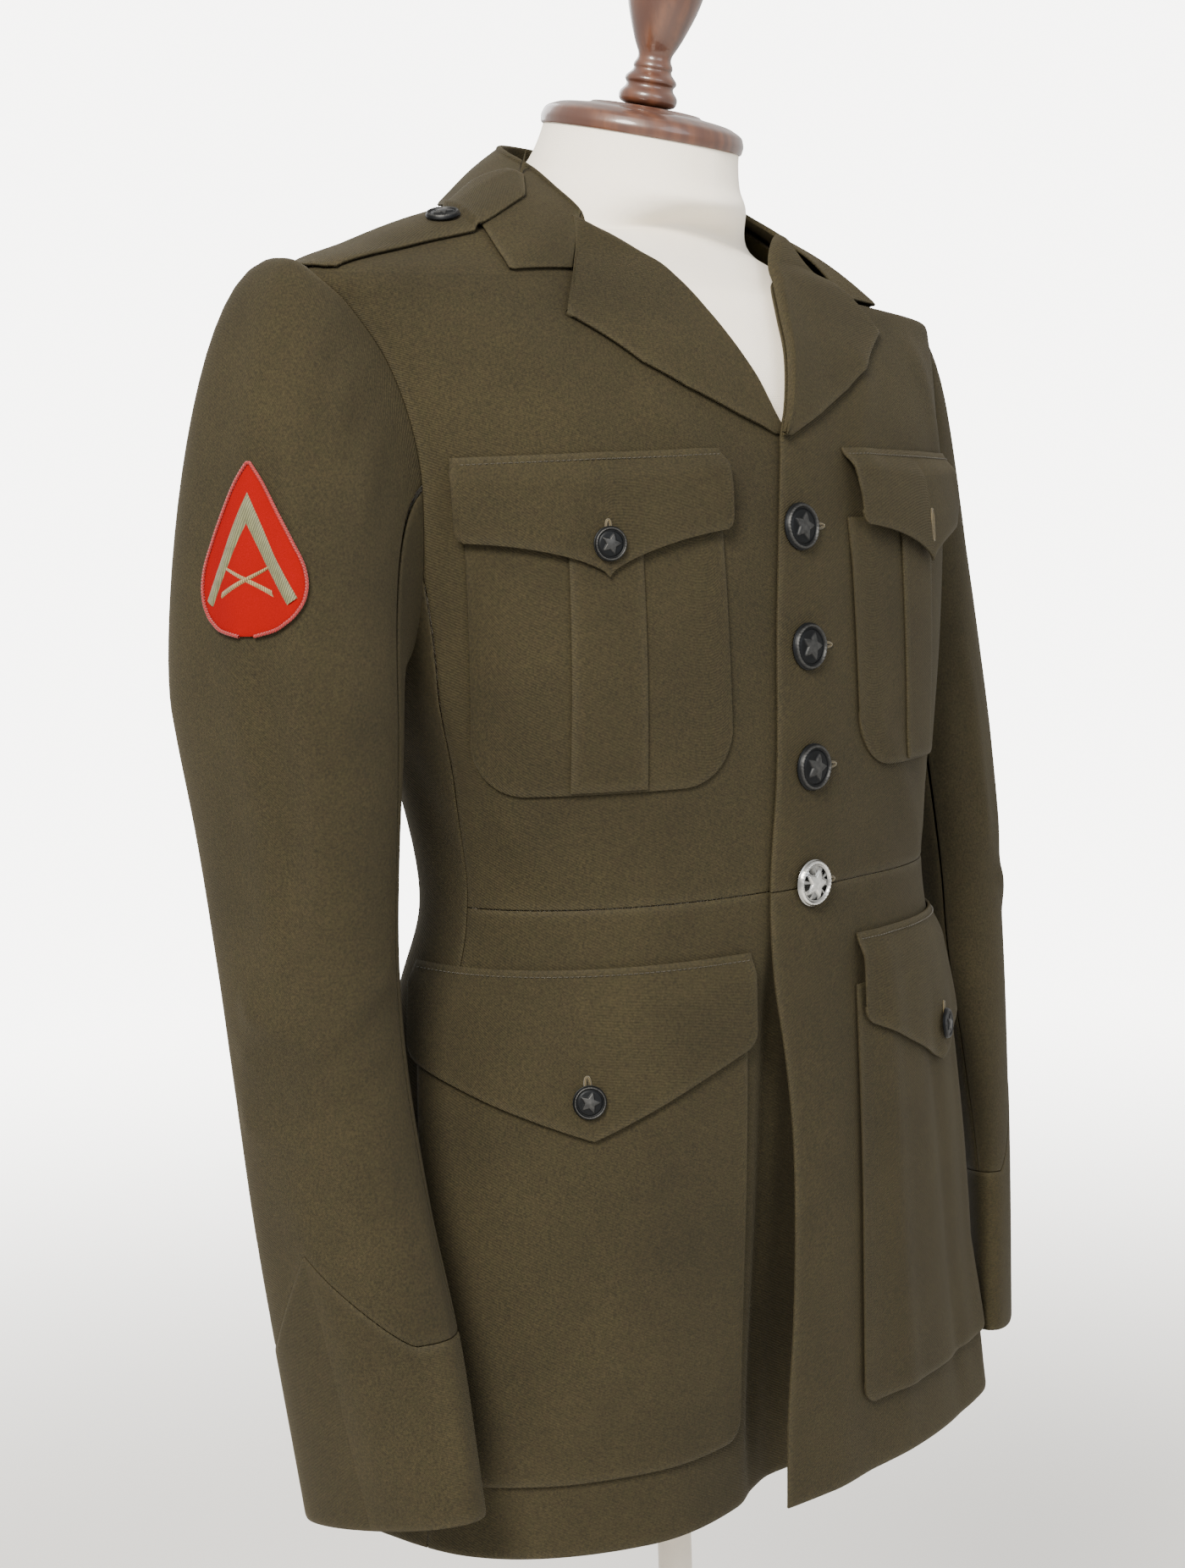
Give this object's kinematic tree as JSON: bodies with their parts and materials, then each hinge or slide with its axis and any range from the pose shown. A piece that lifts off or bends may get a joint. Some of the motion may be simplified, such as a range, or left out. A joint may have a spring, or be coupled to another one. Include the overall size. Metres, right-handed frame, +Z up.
{
  "type": "service coat on a limbless dress form with a stand",
  "caption": "Buttoned wool service coat with patch pockets and sleeve badges, worn by a limbless dress form on a pole and round foot.",
  "frame": {"origin": "middle of the foot's flat underside, on the pole's axis", "axes": "+Z up; the coat's front looks along -Y; the coat's own right side is at -X"},
  "size_m": [0.6071, 0.36, 1.6233],
  "materials": {
    "wool_gabardine": "matt heather twill",
    "felt_red": "matt",
    "button_gunmetal": "dull",
    "button_nickel": "bright",
    "cotton_cream": "matt",
    "wood_varnished": "gloss varnish",
    "steel_painted": "satin paint"
  },
  "bodies": {
    "root": {"front_right": "wool_gabardine", "skirt_right": "wool_gabardine", "side_right": "wool_gabardine", "back_right": "wool_gabardine", "top_sleeve_right": "wool_gabardine", "under_sleeve_right": "wool_gabardine", "cuff_right": "wool_gabardine", "lapel_right": "wool_gabardine", "chest_pocket_right": "wool_gabardine", "skirt_pocket_right": "wool_gabardine", "chest_pleat_right": "wool_gabardine", "chest_flap_right": "wool_gabardine", "skirt_flap_right": "wool_gabardine", "shoulder_strap_right": "wool_gabardine", "badge_right": "felt_red", "skirt_button_right": "button_gunmetal", "strap_button_right": "button_gunmetal", "front_left": "wool_gabardine", "skirt_left": "wool_gabardine", "side_left": "wool_gabardine", "back_left": "wool_gabardine", "top_sleeve_left": "wool_gabardine", "under_sleeve_left": "wool_gabardine", "cuff_left": "wool_gabardine", "lapel_left": "wool_gabardine", "chest_pocket_left": "wool_gabardine", "skirt_pocket_left": "wool_gabardine", "chest_pleat_left": "wool_gabardine", "chest_flap_left": "wool_gabardine", "skirt_flap_left": "wool_gabardine", "shoulder_strap_left": "wool_gabardine", "badge_left": "felt_red", "skirt_button_left": "button_gunmetal", "strap_button_left": "button_gunmetal", "collar": "wool_gabardine", "chest_button_right": "button_gunmetal", "front_button_1": "button_gunmetal", "front_button_2": "button_gunmetal", "front_button_3": "button_gunmetal", "front_button_4": "button_nickel", "form_body": "cotton_cream", "neck_cap": "wood_varnished", "finial": "wood_varnished", "pole": "steel_painted", "foot": "steel_painted"}
  },
  "joints": []
}
